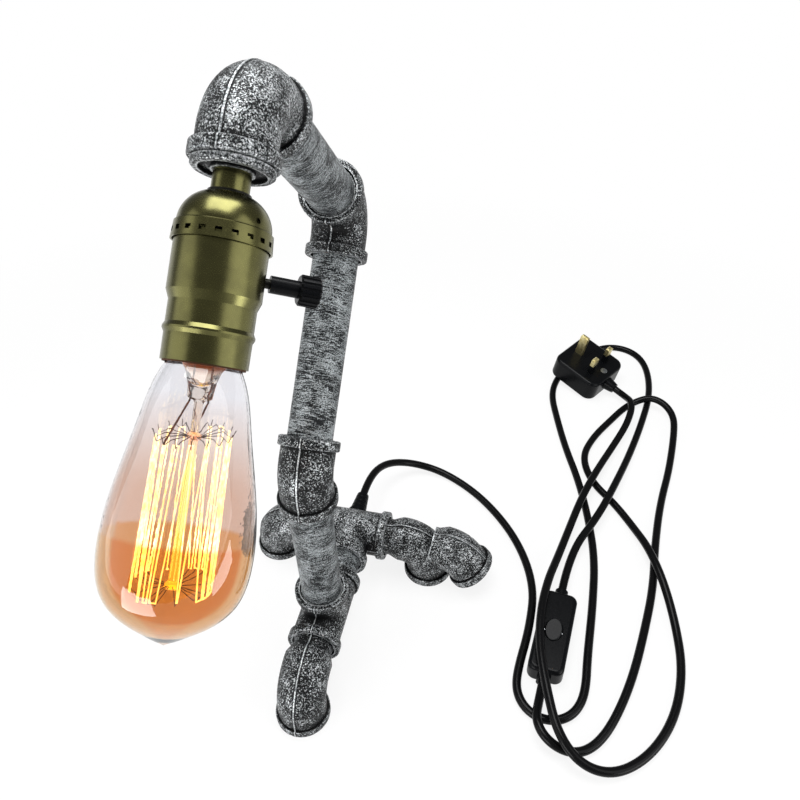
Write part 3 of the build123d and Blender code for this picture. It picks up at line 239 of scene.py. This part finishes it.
def brushed_pipe(name, foot, along, seam_turn):
    """Steel pipe, painted black and dry-brushed with silver across its length, which leaves streaks
    round it, with the weld line dark."""
    material, tree, shader, place = blank_material("dry_brushed_steel_pipe_" + name)
    seam_dir = Matrix.Rotation(seam_turn, 3, along) @ along.orthogonal().normalized()
    out = distance_along(tree, place, foot, seam_dir)
    across = distance_along(tree, place, foot, along.cross(seam_dir))
    down = distance_along(tree, place, foot, along)
    squeezed = 0.06     # a streak is this much finer along the pipe than round it

    def streaks(tilt, size, seed):
        slope = maths(tree, "ADD", down, maths(tree, "MULTIPLY", across, tilt))
        vector = add(tree, "CombineXYZ", {0: maths(tree, "MULTIPLY", out, squeezed),
                                          1: maths(tree, "MULTIPLY_ADD", across, squeezed, seed),
                                          2: slope}).outputs[0]
        return noise(tree, vector, size, 3, 0.6)

    fine = maths(tree, "MAXIMUM", streaks(0.2, 0.36 * MM, 0.3), streaks(-0.26, 0.44 * MM, 0.7))
    patches = noise(tree, place, 10 * MM, 2, 0.5)
    specks = noise(tree, place, 0.7 * MM, 3, 0.6)
    reach = maths(tree, "ADD", ramp(tree, patches, 0.3, 0.7, -0.07, 0.07),
                  ramp(tree, specks, 0.3, 0.7, -0.1, 0.1))
    silvered = ramp(tree, maths(tree, "ADD", fine, reach), 0.525, 0.61)
    near_seam = ramp(tree, maths(tree, "ABSOLUTE", across), 0.4 * MM, 0.2 * MM)
    seam = maths(tree, "MULTIPLY", near_seam, ramp(tree, out, 0, MM))
    seam = maths(tree, "MULTIPLY", seam, ramp(tree, specks, 0.35, 0.5))
    silvered = maths(tree, "MULTIPLY", silvered, ramp(tree, seam, 0, 1, 1, 0.15))
    silver = mix(tree, ramp(tree, specks, 0.3, 0.7), colour("#5f6668"), colour("#b4b9bb"))
    feed(tree, shader, {
        "Base Color": mix(tree, silvered, colour("#121416"), silver),
        "Metallic": maths(tree, "MULTIPLY", silvered, 0.4),
        "Roughness": ramp(tree, silvered, 0, 1, 0.52, 0.44),
        "Specular IOR Level": 0.15,
        "Normal": relief(tree, fine, 0.3, 0.12 * MM)})
    return material


def antique_brass():
    """Pressed brass, stained olive and satin, a little darker in the corners"""
    material, tree, shader, place = blank_material("antique_brass")
    stain = noise(tree, place, 9 * MM, 3, 0.6)
    grain = noise(tree, place, 0.25 * MM, 2, 0.5)
    corner = openness(tree, 3 * MM)
    tone = mix(tree, ramp(tree, stain, 0.35, 0.7), colour("#67653f"), colour("#5a5838"))
    feed(tree, shader, {
        "Base Color": mix(tree, ramp(tree, corner, 0.5, 0.95), colour("#26251a"), tone),
        "Metallic": 1,
        "Roughness": ramp(tree, grain, 0.3, 0.7, 0.24, 0.28),
        "Normal": relief(tree, grain, 0.08, 0.05 * MM)})
    return material


def metal(name, tone, dark, roughness):
    """Plain machined or plated metal with faint handling marks"""
    material, tree, shader, place = blank_material(name)
    marks = noise(tree, place, 3 * MM, 3, 0.6)
    fine = noise(tree, place, 0.3 * MM, 2, 0.5)
    feed(tree, shader, {
        "Base Color": mix(tree, ramp(tree, marks, 0.35, 0.65), colour(tone), colour(dark)),
        "Metallic": 1,
        "Roughness": ramp(tree, fine, 0.3, 0.7, roughness - 0.05, roughness + 0.05)})
    return material


def moulding(name, tone, roughness, grain_size, depth):
    """Moulded plastic: even colour, fine grain from the mould, soft gloss"""
    material, tree, shader, place = blank_material(name)
    uneven = noise(tree, place, 14 * MM, 2, 0.5)
    grain = noise(tree, place, grain_size, 2, 0.5)
    base = colour(tone)
    lighter = [min(1, channel * 1.25) for channel in base[:3]] + [1]
    feed(tree, shader, {
        "Base Color": mix(tree, uneven, base, lighter),
        "Roughness": ramp(tree, grain, 0.3, 0.7, roughness - 0.04, roughness + 0.06),
        "IOR": 1.5,
        "Specular IOR Level": 0.1,
        "Normal": relief(tree, grain, 0.4, depth)})
    return material


def depth_in_bulb(tree, place):
    """Distance below the neck along the bulb's axis, in millimetres"""
    return distance_along(tree, place, NECK, HOLDER_DIR / MM)


def amber_glass():
    """Blown glass, clear at the neck, with an amber tone below the cage's middle that is painted glow of
    the filament. Where the wall is seen edge on, its colour is a painted cool grey reflection, and near
    the outline the amber turns pale as a painted reflection."""
    material, tree, shader, place = blank_material("blown_glass_painted_glow")
    depth = depth_in_bulb(tree, place)
    edge = add(tree, "LayerWeight", {"Blend": 0.5}).outputs["Facing"]
    clear = mix(tree, ramp(tree, depth, 15, 50), colour("#f4f4f7"), colour("#e8d3c8"))
    # painted glow of the filament below the cage's middle, turning pale as a painted reflection where the
    # wall turns edge on
    amber = mix(tree, ramp(tree, edge, 0.42, 0.49), colour("#e5ab67"), colour("#eeeaee"))
    tone = mix(tree, ramp(tree, depth, 68.5, 70.5), clear, amber)
    feed(tree, shader, {
        # painted cool grey reflection where the wall is seen edge on
        "Base Color": mix(tree, ramp(tree, edge, 0.72, 0.85), tone, colour("#e4e4ee")),
        "Transmission Weight": 1,
        "Roughness": 0.0,
        "IOR": 1.5})
    return material


def drawn_glass():
    """Drawn clear glass of the stem and rod, which carries the filament's light: copper red by the
    neck, clear above the hooks, deep yellow along the cage"""
    material, tree, shader, place = blank_material("drawn_glass_lit_from_beside")
    depth = depth_in_bulb(tree, place)
    waves = noise(tree, place, 6 * MM, 2, 0.5)
    clear = mix(tree, waves, colour("#fbf6f0"), colour("#f4e6d8"))
    by_neck = maths(tree, "MULTIPLY", ramp(tree, depth, 8, 3), 0.16)
    by_cage = ramp(tree, depth, 29, 40)
    feed(tree, shader, {
        "Base Color": mix(tree, ramp(tree, depth, 5, 8), colour("#8c4c26"), clear),
        "Transmission Weight": 1,
        "Roughness": 0.03,
        "IOR": 1.5,
        "Emission Color": mix(tree, ramp(tree, depth, 34, 46), colour("#f08a4c"), colour("#f4ca12")),
        "Emission Strength": maths(tree, "MULTIPLY", maths(tree, "ADD", by_neck, by_cage), 0.6)})
    return material


def glowing_carbon():
    """Carbon filament at working heat: yellow-white, a little uneven along its length, and hottest in
    the cage's lower half"""
    material, tree, shader, place = blank_material("glowing_carbon_filament")
    uneven = noise(tree, place, 2.5 * MM, 2, 0.5)
    glow = mix(tree, ramp(tree, uneven, 0.35, 0.65), colour("#fff4cf"), colour("#ffdf8c"))
    feed(tree, shader, {
        "Base Color": glow,
        "Emission Color": glow,
        "Emission Strength": ramp(tree, depth_in_bulb(tree, place), 60, 72, 1.7, 3.0),
        "Roughness": 0.6})
    return material


def bevelled_curve(name, diameter, resolution):
    curve = bpy.data.curves.new(name, "CURVE")
    curve.dimensions = "3D"
    curve.bevel_depth = diameter / 2
    curve.bevel_resolution = resolution
    curve.use_fill_caps = True
    return curve


# ---------------------------------------------------------------- cords
CORD_DIAMETER = 6.2 * MM
LYING = 3.1                 # height of the middle of a cord that lies on the surface, in millimetres
ON_LAMP_CORD = ("switch_base", "switch_cover", "rocker", "rocker_axle", "switch_screws",
                "switch_terminals")
ON_PLUG_CORD = ("plug_base", "plug_cover", "earth_pin", "neutral_pin", "live_pin", "pin_sleeves",
                "plug_screw", "fuse_contacts", "fuse_carrier", "fuse", "plug_boot")

# Routes from the gland to the switch and from the switch to the plug, in millimetres. A point with
# two numbers lies on the surface; a third number is the height of the cord's middle.
LAMP_CORD_ROUTE = [
    (0, 106.7, 31), (0, 127.7, 31), (8, 153, 23), (28, 169, 10), (57, 169), (93, 147), (125, 111),
    (143, 70), (143, 32), (138, -2), (138.5, -17), (144.5, -27.5), (154.5, -33.5), (166.5, -33.5),
    (176.5, -27.5), (182.5, -17.5), (185, -4), (185, 18), (187, 60), (187, 104), (180, 145),
    (170, 184), (157, 220), (147, 256), (139, 289), (143, 315), (155, 338), (171, 360), (192, 375),
    (215, 371), (229, 350), (232, 308), (223, 262), (212, 219, 4), (200, 178, 10.4),
    (187, 140, 10.7), (167.44, 102.58, 7.5), (163.47, 64.79, 7.5),
]
PLUG_CORD_ROUTE = [
    (155.53, -10.79, 7.5), (154.06, -24.71, 7.5), (153, -37, 11), (157, -46.5, 11.5),
    (165.5, -52.5, 9.5), (177, -53.5, 5.5), (188.5, -48.5), (199, -36), (208.5, -15), (217, 12),
    (224, 45), (231, 85), (233, 125), (238, 170), (247, 213), (252.5, 262, 6), (250.5, 277, 9),
    (242, 289, 11), (229.5, 294, 11), (216.5, 291, 5), (206.5, 281.5), (196.5, 265), (181, 239),
    (172, 212), (181, 184), (201, 163), (216, 141, 3.6), (227, 116, 10.6), (237, 88, 10.6),
    (246, 58, 3.6), (250, 22), (244, -14), (228, -43), (206, -61, 4.6), (184, -63, 11.5),
    (167, -49, 18.5), (157, -18, 19.6), (150, 12, 19.3), (149, 40, 19.4), (152, 66, 18.5),
    (158, 92, 13), (165, 123, 10.4), (173, 157, 10.4), (184, 190, 10.4), (199, 230, 5.5),
    (210, 256, 10), (214, 279, 14.6), (206.64, 296.91, 6.68), (197.57, 302.8, 8.68),
]


def round_cord(name, route):
    curve = bevelled_curve(name, CORD_DIAMETER, 5)
    curve.resolution_u = 8
    spline = curve.splines.new("NURBS")
    spline.points.add(len(route) - 1)
    for point, (x, y, *height) in zip(spline.points, route):
        point.co = (*at(x, y, *(height or [LYING])), 1)
    spline.order_u = 3
    spline.use_endpoint_u = True
    return put(name, curve)


def make_cords():
    sheath = moulding("glossy_pvc_sheath", "#0b0b0c", 0.2, 0.5 * MM, 0.01 * MM)
    for name, node, route, length, end, carried in (
            ("lamp_lead", "lamp_cord", LAMP_CORD_ROUTE, 1.141, "fitting", ON_LAMP_CORD),
            ("plug_lead", "plug_cord", PLUG_CORD_ROUTE, 1.248, "plug", ON_PLUG_CORD)):
        lead = round_cord(name, route)
        wear(lead, material=sheath)
        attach(lead, "base")
        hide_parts(node)


# ---------------------------------------------------------------- bulb
NECK = middle("bulb_cap") + HOLDER_DIR * 9.5 * MM     # where the glass meets its cap
BULB_TURN = Matrix((SIDEWAYS, HOLDER_DIR.cross(SIDEWAYS), HOLDER_DIR)).transposed()
BULB_PLACE = Matrix.Translation(NECK) @ BULB_TURN.to_4x4() @ Matrix.Scale(MM, 4)
HOOKS = 16                  # at each end of the cage
HOOK_STEP = tau / HOOKS
UPPER_HOOKS = (14.0, 31.5)  # their radius and their depth below the neck, in millimetres
LOWER_HOOKS = (15.2, 88.5)
HOOK_SWAY = 4.0             # the hooks on one side were bent lower than on the other
HOOK_LEAN = 0.45 * HOOK_STEP
ROD_R = 1.7
STEM_FOOT = 17.4            # below the neck
STRAND_D = 0.72
HOOK_WIRE_D = 0.36
LEAD_D = 0.8
STEM_FACETS = 40
BEAD_FACETS = 28
SAME_CORNER = 0.001


def lower_turn(i):
    """Where a lower hook stands: it leans, unevenly, off the middle between two upper ones"""
    return HOOK_STEP * (i + 0.5) + HOOK_LEAN * sin(4.7 * i)


def on_ring(ring, turn, out=0.0, down=0.0):
    """A point beside a ring of hooks, in millimetres in the bulb's own axes"""
    radius, depth = ring
    sway = HOOK_SWAY * sin(turn)
    return Vector(((radius + out) * cos(turn), (radius + out) * sin(turn), depth + down + sway))


def drawn_wire(name, runs, diameter, ring=False):
    """Round wire through each run of points, given in the bulb's own axes"""
    curve = bevelled_curve(name, diameter * MM, 2)
    for run in runs:
        spline = curve.splines.new("POLY")
        spline.points.add(len(run) - 1)
        spline.use_cyclic_u = ring
        for point, place in zip(spline.points, run):
            point.co = (*(BULB_PLACE @ place), 1)
    return put(name, curve)


def turned_glass(outline, facets):
    """Closed outline of (radius, depth) corners, turned about the bulb's axis"""
    shape = bmesh.new()
    corners = [shape.verts.new((radius, 0, depth)) for radius, depth in outline]
    sides = [shape.edges.new(pair) for pair in zip(corners, corners[1:] + corners[:1])]
    bmesh.ops.spin(shape, geom=corners + sides, axis=(0, 0, 1), cent=(0, 0, 0), angle=tau,
                   steps=facets, use_merge=True)
    bmesh.ops.remove_doubles(shape, verts=shape.verts, dist=SAME_CORNER)
    return shape


def settle(name, shape):
    """Makes the finished bmesh, in the bulb's own axes, an object whose place is in its mesh"""
    bmesh.ops.transform(shape, matrix=BULB_PLACE, verts=shape.verts)
    bmesh.ops.recalc_face_normals(shape, faces=shape.faces)
    for face in shape.faces:
        face.smooth = True
    mesh = bpy.data.meshes.new(name)
    shape.to_mesh(mesh)
    shape.free()
    return put(name, mesh)


def pressed_stem():
    """Flared glass tube, pressed flat round the leads, with the rod that carries the hooks"""
    rod_end = LOWER_HOOKS[1] + 1.6
    outline = [(12.0, 0.3), (9.6, 2.6), (7.0, 6.4), (5.6, 10.4), (4.9, 14.0), (4.5, STEM_FOOT - 0.6),
               (3.6, STEM_FOOT), (2.1, STEM_FOOT + 0.5), (ROD_R, STEM_FOOT + 1.4), (ROD_R, rod_end - 0.9),
               (1.2, rod_end), (0.0, rod_end), (0.0, 12.5), (2.6, 11.6), (4.5, 9.6), (6.2, 6.0), (8.9, 2.4),
               (11.2, 0.3)]
    shape = turned_glass(outline, STEM_FACETS)
    for start, flat in ((8.0, (1.04, 0.86, 1)), (12.0, (1.05, 0.7, 1)), (15.5, (1.05, 0.72, 1))):
        pressed = [v for v in shape.verts
                   if start < v.co.z < STEM_FOOT + 0.7 and v.co.xy.length > ROD_R * 1.05]
        bmesh.ops.scale(shape, vec=flat, verts=pressed)
    return settle("pressed_stem", shape)


def hook_buttons():
    """Glass beads melted round the rod, in which the hooks are set"""
    shape = bmesh.new()
    for depth, radius in ((UPPER_HOOKS[1], 2.9), (LOWER_HOOKS[1], 3.1)):
        outline = [(ROD_R + 0.05, depth - 1.5), (radius - 0.7, depth - 1.4), (radius, depth - 0.6),
                   (radius - 0.25, depth), (radius, depth + 0.6), (radius - 0.7, depth + 1.4),
                   (ROD_R + 0.05, depth + 1.5)]
        bead = turned_glass(outline, BEAD_FACETS)
        mesh = bpy.data.meshes.new("bead")
        bead.to_mesh(mesh)
        bead.free()
        shape.from_mesh(mesh)
        bpy.data.meshes.remove(mesh)
    return settle("hook_beads", shape)


def laced_strands():
    """One strand, laced to and fro over the hooks, round the whole cage"""
    lacing = []
    for i in range(HOOKS):
        for ring, turn in ((UPPER_HOOKS, HOOK_STEP * i), (LOWER_HOOKS, lower_turn(i))):
            bend = (0.12 + 0.1 * sin(5.3 * turn)) * HOOK_STEP
            sag = 0.9 * sin(3.1 * turn + 1)
            lacing += [on_ring(ring, turn - bend, 0, sag), on_ring(ring, turn + bend, 0, sag)]
    return drawn_wire("laced_filament", [lacing], STRAND_D, ring=True)


def bent_hooks():
    """Wires from the beads out to the strand: the upper ones are bent over it"""
    hooks = []
    for i in range(HOOKS):
        turn = HOOK_STEP * i
        hooks.append([Vector((2.6 * cos(turn), 2.6 * sin(turn), UPPER_HOOKS[1])),
                      on_ring(UPPER_HOOKS, turn, -3.4, -1.6), on_ring(UPPER_HOOKS, turn, 0, 0.6),
                      on_ring(UPPER_HOOKS, turn, 1.4, -2.6)])
        turn = lower_turn(i)
        hooks.append([Vector((2.8 * cos(turn), 2.8 * sin(turn), LOWER_HOOKS[1])),
                      on_ring(LOWER_HOOKS, turn, -2.6, 1.2), on_ring(LOWER_HOOKS, turn, 0.2, -0.6)])
    return drawn_wire("hook_wires", hooks, HOOK_WIRE_D)


def stem_leads():
    """The two leads, out of the press and on to a hook each"""
    leads = [
        [Vector((side * 3.7, 0, 3.0)), Vector((side * 3.8, 0, STEM_FOOT - 4.0)),
         Vector((side * 3.3, 0, STEM_FOOT - 2.0)), Vector((side * 3.9, 0.2, STEM_FOOT + 1.0)),
         on_ring(UPPER_HOOKS, HOOK_STEP * hook)]
        for side, hook in ((-1, 5), (1, 11))]
    return drawn_wire("filament_leads", leads, LEAD_D)


def make_bulb():
    """Inside of the bulb: the strand on its hooks, the leads, the stem and the beads"""
    strands = laced_strands()
    hook_wires = bent_hooks()
    lead_wires = stem_leads()
    stem = pressed_stem()
    beads = hook_buttons()
    lit = drawn_glass()
    carbon = glowing_carbon()
    molybdenum = metal("molybdenum_wire", "#6b4a38", "#3a2c26", 0.4)
    coppered = metal("coppered_lead_wire", "#8a4f33", "#4a3028", 0.35)
    for piece, finish, slot, node in ((strands, carbon, "filament", "filament"),
                                      (hook_wires, molybdenum, "dark_steel", "support_wires"),
                                      (lead_wires, coppered, "dark_steel", "support_wires"),
                                      (stem, lit, "clear_glass", "glass_stem"),
                                      (beads, lit, "clear_glass", "glass_stem")):
        wear(piece, material=finish)
        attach(piece, "bulb")
        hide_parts(node)


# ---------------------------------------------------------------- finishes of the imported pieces
def dress(material, *names):
    wear(*[NODES[name] for name in names], material=material)


def dress_fittings():
    # each row's third number is the piece's level of painted light: higher on the head and rear tee, lower
    # as painted shade on the upper elbow and the upright's fittings
    for name, seam, painted_light_level, grain_size, nodes in (
            ("head", (RISER, SIDEWAYS), 0.012, 0.75 * MM, ("head_elbow",)),
            ("upper_elbow", (RISER, SIDEWAYS), -0.03, 0.8 * MM, ("upper_elbow",)),
            ("upright", (RISER, SIDEWAYS), -0.02, MM, ("front_foot_elbow", "front_tee", "riser_bend")),
            ("rear_tee", (REAR_TEE, UPWARDS), 0.01, MM, ("rear_tee",)),
            ("side_feet", (REAR_TEE, BACKWARDS), 0.0, MM,
             ("left_foot_elbow", "right_foot_elbow", "right_outer_elbow")),
            ("bush", None, 0.0, 0.8 * MM, ("reducing_bush",))):
        dress(brushed_casting(name, seam, painted_light_level, grain_size), *nodes)
    for name, along, seam_turn in (("riser_pipe", UPWARDS, radians(70)),
                                   ("post_pipe", POST_DIR, radians(100)),
                                   ("arm_pipe", ARM_DIR, radians(90)),
                                   ("base_nipple", BACKWARDS, 0)):
        dress(brushed_pipe(name, middle(name), along, seam_turn), name)


def dress_the_rest():
    dress(antique_brass(), "lampholder_cap", "lampholder_shell", "brass_sleeve")
    dress(metal("plain_brass", "#efe4ae", "#cdbd80", 0.35),
          "screw_shell", "holder_contacts", "bulb_cap", "earth_pin", "neutral_pin", "live_pin",
          "switch_terminals", "fuse_contacts")
    dress(metal("zinc_plated_steel", "#b5b8ba", "#8f9396", 0.3),
          "threaded_rod", "rod_nuts", "gland_nut", "rocker_axle", "switch_screws", "plug_screw",
          "support_wires", "bulb_contact")
    dress(metal("blackened_steel", "#2c2c28", "#1c1c1a", 0.4), "neck_washer", "switch_spindle")
    dress(moulding("black_moulded_nylon", "#08090b", 0.27, 0.35 * MM, 0.02 * MM),
          "cable_gland", "switch_base", "switch_cover", "rocker", "plug_base", "plug_cover",
          "plug_boot", "pin_sleeves", "fuse_carrier", "turn_knob")
    dress(moulding("black_pvc_flex", "#0d0d0e", 0.3, 0.5 * MM, 0.01 * MM),
          "flex_base", "flex_post", "flex_arm", "flex_head", "lead_wires")
    dress(moulding("pressed_board", "#4d3527", 0.6, 0.4 * MM, 0.03 * MM), "insulating_liner")
    dress(moulding("glazed_steatite", "#d9d4c6", 0.3, 0.6 * MM, 0.02 * MM),
          "holder_core", "switch_rotor", "fuse", "bulb_insulator")
    dress(amber_glass(), "bulb_glass")


# ---------------------------------------------------------------- light and floor
LIGHTS_AIM = (0, -20, 230)
ROOM_LIGHT = 0.24               # of the white room, on what stands in it
FLOOR_HALF = 6
LIGHTS = (                      # name, place in millimetres, size in metres, watts
    ("low_box_front", (-230, -610, 130), (0.4, 0.35), 3.4),
    ("low_box_right", (640, -200, 70), (0.35, 0.2), 1.4),
    ("tall_box_left", (-700, -420, 520), (0.8, 0.9), 3.2),
    ("tall_box_right", (780, -120, 560), (0.55, 0.8), 2.6),
    ("box_overhead", (0, 150, 900), (0.55, 0.55), 7.5),
)


def make_room():
    """White all round where the camera sees it, also through glass"""
    world = bpy.data.worlds.new("studio")
    world.use_nodes = True
    tree = world.node_tree
    path = add(tree, "LightPath")
    seen = maths(tree, "MAXIMUM", path.outputs["Is Camera Ray"], path.outputs["Is Transmission Ray"])
    feed(tree, tree.nodes["Background"], {"Color": colour("#ffffff"),
                                          "Strength": ramp(tree, seen, 0, 1, ROOM_LIGHT, 1.0)})
    bpy.context.scene.world = world


def make_lights():
    for name, place, size, power in LIGHTS:
        data = bpy.data.lights.new(name, "AREA")
        data.shape = "RECTANGLE"
        data.size, data.size_y = size
        data.energy = power
        lamp = put(name, data)
        lamp.location = at(*place)
        aim = at(*LIGHTS_AIM) - lamp.location
        lamp.rotation_euler = aim.to_track_quat("-Z", "Y").to_euler()
        lamp.visible_camera = False
        lamp.visible_transmission = False


def make_floor():
    """Pale paper that takes the shadows and turns white further off"""
    mesh = bpy.data.meshes.new("floor")
    shape = bmesh.new()
    bmesh.ops.create_grid(shape, x_segments=1, y_segments=1, size=FLOOR_HALF)
    shape.to_mesh(mesh)
    shape.free()
    floor = put("floor", mesh)
    material, tree, shader, place = blank_material("pale_paper")
    feed(tree, shader, {"Base Color": colour("#f2f2f2"), "Roughness": 0.9})
    path = add(tree, "LightPath")
    seen = maths(tree, "MAXIMUM", path.outputs["Is Camera Ray"], path.outputs["Is Glossy Ray"])
    seen = maths(tree, "MAXIMUM", seen, path.outputs["Is Transmission Ray"])
    white = add(tree, "Emission", {"Color": colour("#ffffff"), "Strength": 1.0}).outputs[0]
    away = add(tree, "VectorMath", {0: place}, operation="LENGTH").outputs["Value"]
    paper = maths(tree, "MULTIPLY", seen, ramp(tree, away, 0.3, 0.7, 0.85, 1))
    both = add(tree, "MixShader", {0: paper, 1: shader.outputs[0], 2: white}).outputs[0]
    feed(tree, tree.nodes["Material Output"], {"Surface": both})
    wear(floor, material=material)


make_camera()
make_cords()
make_bulb()
dress_fittings()
dress_the_rest()
make_room()
make_lights()
make_floor()
bpy.context.scene.view_settings.view_transform = "Standard"
